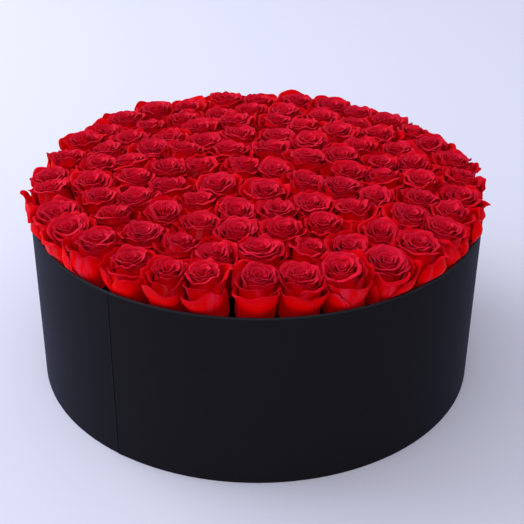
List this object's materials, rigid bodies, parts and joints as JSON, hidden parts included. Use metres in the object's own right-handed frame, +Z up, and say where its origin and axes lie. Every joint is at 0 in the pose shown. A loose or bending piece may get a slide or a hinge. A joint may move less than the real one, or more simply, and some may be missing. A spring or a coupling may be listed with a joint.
{
  "type": "flower box",
  "caption": "Round black paper-covered hat box, open at the top and filled with floral foam and red roses standing close together in rings.",
  "frame": {"origin": "centre of the underside, in the plane that the box stands on", "axes": "+Z up through the roses, -Y the front, +X the right-hand side seen from the front"},
  "size_m": [0.5, 0.4998, 0.2435],
  "materials": {
    "cover_paper": "matte",
    "lining_paper": "matte",
    "greyboard": "matte",
    "liner_plastic": "satin",
    "floral_foam": "matte",
    "rose_petals": "satin",
    "rose_calyx": "satin",
    "rose_stem": "satin"
  },
  "bodies": {
    "box": {"outer_wrap": "cover_paper", "base_cover": "cover_paper", "wall_lining": "lining_paper", "floor_lining": "lining_paper", "wall_board": "greyboard", "base_board": "greyboard"},
    "insert": {"foam_back_edge": "floral_foam", "foam_back_left": "floral_foam", "foam_back_right": "floral_foam", "foam_front_edge": "floral_foam", "foam_front_left": "floral_foam", "foam_front_right": "floral_foam", "foam_mid_back_left": "floral_foam", "foam_mid_back_right": "floral_foam", "foam_mid_front_left": "floral_foam", "foam_mid_front_right": "floral_foam", "foam_middle_centre": "floral_foam", "foam_middle_left": "floral_foam", "foam_middle_right": "floral_foam", "rose_ring_1_calyces": "rose_calyx", "rose_ring_1_heads": "rose_petals", "rose_ring_1_stems": "rose_stem", "rose_ring_2_calyces": "rose_calyx", "rose_ring_2_heads": "rose_petals", "rose_ring_2_stems": "rose_stem", "rose_ring_3_calyces": "rose_calyx", "rose_ring_3_heads": "rose_petals", "rose_ring_3_stems": "rose_stem", "rose_ring_4_calyces": "rose_calyx", "rose_ring_4_heads": "rose_petals", "rose_ring_4_stems": "rose_stem", "rose_ring_5_calyces": "rose_calyx", "rose_ring_5_heads": "rose_petals", "rose_ring_5_stems": "rose_stem", "waterproof_liner": "liner_plastic"},
    "middle_rose_left": {"middle_rose_left_calyx": "rose_calyx", "middle_rose_left_head": "rose_petals", "middle_rose_left_stem": "rose_stem"},
    "middle_rose_right": {"middle_rose_right_calyx": "rose_calyx", "middle_rose_right_head": "rose_petals", "middle_rose_right_stem": "rose_stem"}
  },
  "joints": [
    {"name": "insert_lift", "type": "slide", "parent": "box", "child": "insert", "axis": [0, 0, 1], "range_m": [0, 0.25]},
    {"name": "rose_left_pull", "type": "slide", "parent": "insert", "child": "middle_rose_left", "axis": [0, 0, 1], "range_m": [0, 0.2]},
    {"name": "rose_right_pull", "type": "slide", "parent": "insert", "child": "middle_rose_right", "axis": [0, 0, 1], "range_m": [0, 0.2]}
  ]
}
